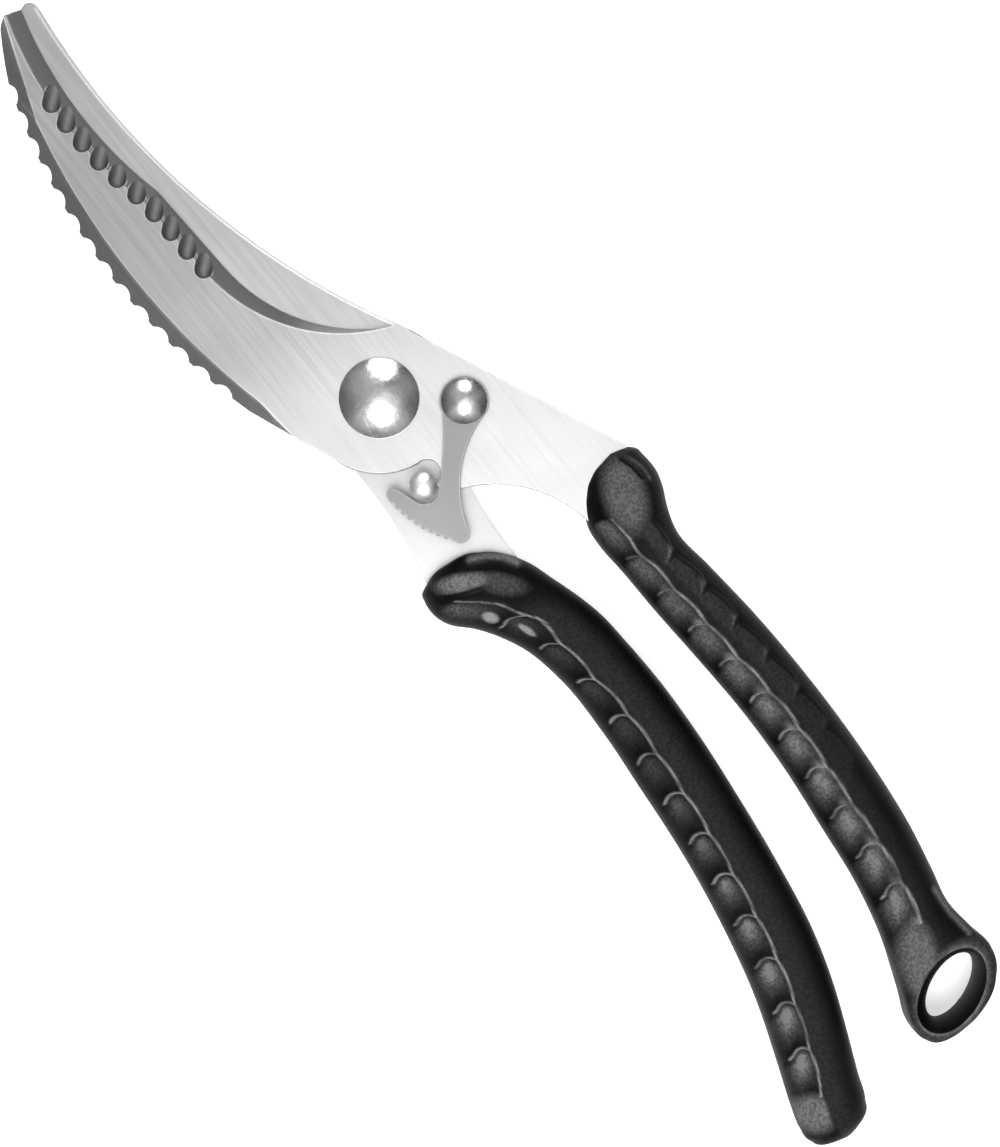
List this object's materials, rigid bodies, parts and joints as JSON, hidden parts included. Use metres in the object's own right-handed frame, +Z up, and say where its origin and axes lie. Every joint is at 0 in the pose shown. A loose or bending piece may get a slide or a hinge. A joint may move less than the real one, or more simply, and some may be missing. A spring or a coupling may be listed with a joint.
{
  "type": "poultry shears",
  "caption": "Curved-blade poultry shears with fluted bevel, scaler back, hidden spring, thumb latch and moulded grips with a hanging loop.",
  "frame": {"origin": "middle of the closed shears' length and width, on the surface they lie on", "axes": "+X towards the blade tips, +Y towards the scaler edge and the rear blade's grip, +Z up out of the face with the latch"},
  "size_m": [0.2512, 0.055, 0.0158],
  "materials": {
    "blade_steel": "satin ground stainless steel, darker on the ground bevels",
    "grip_plastic": "moulded black plastic with a fine matt grain",
    "polished_steel": "polished stainless steel",
    "spring_steel": "plain drawn or hardened steel",
    "latch_steel": "tumbled stamped stainless steel"
  },
  "bodies": {
    "front_half": {"front_blade": "blade_steel", "front_grip": "grip_plastic", "pivot_bolt": "polished_steel", "pivot_nut": "polished_steel", "tension_washer": "spring_steel", "pivot_bush": "spring_steel", "torsion_spring": "spring_steel", "latch_washer": "spring_steel", "latch_rivet": "polished_steel"},
    "rear_half": {"rear_blade": "blade_steel", "rear_grip": "grip_plastic", "keeper_pin": "polished_steel"},
    "latch_hook": {"latch": "latch_steel"}
  },
  "joints": [
    {"name": "blade_pivot", "type": "hinge", "parent": "front_half", "child": "rear_half", "pos_m": [0.0301, 0.0034, 0.0078], "axis": [0, 0, -1], "range_deg": [0, 38], "deforming": ["torsion_spring"]},
    {"name": "latch_swing", "type": "hinge", "parent": "front_half", "child": "latch_hook", "pos_m": [0.0201, -0.0081, 0.01185], "axis": [0, 0, 1], "range_deg": [0, 80]}
  ],
  "couplings": [
    {"joint": "latch_swing", "follows": "blade_pivot", "ratio": 2.1}
  ]
}
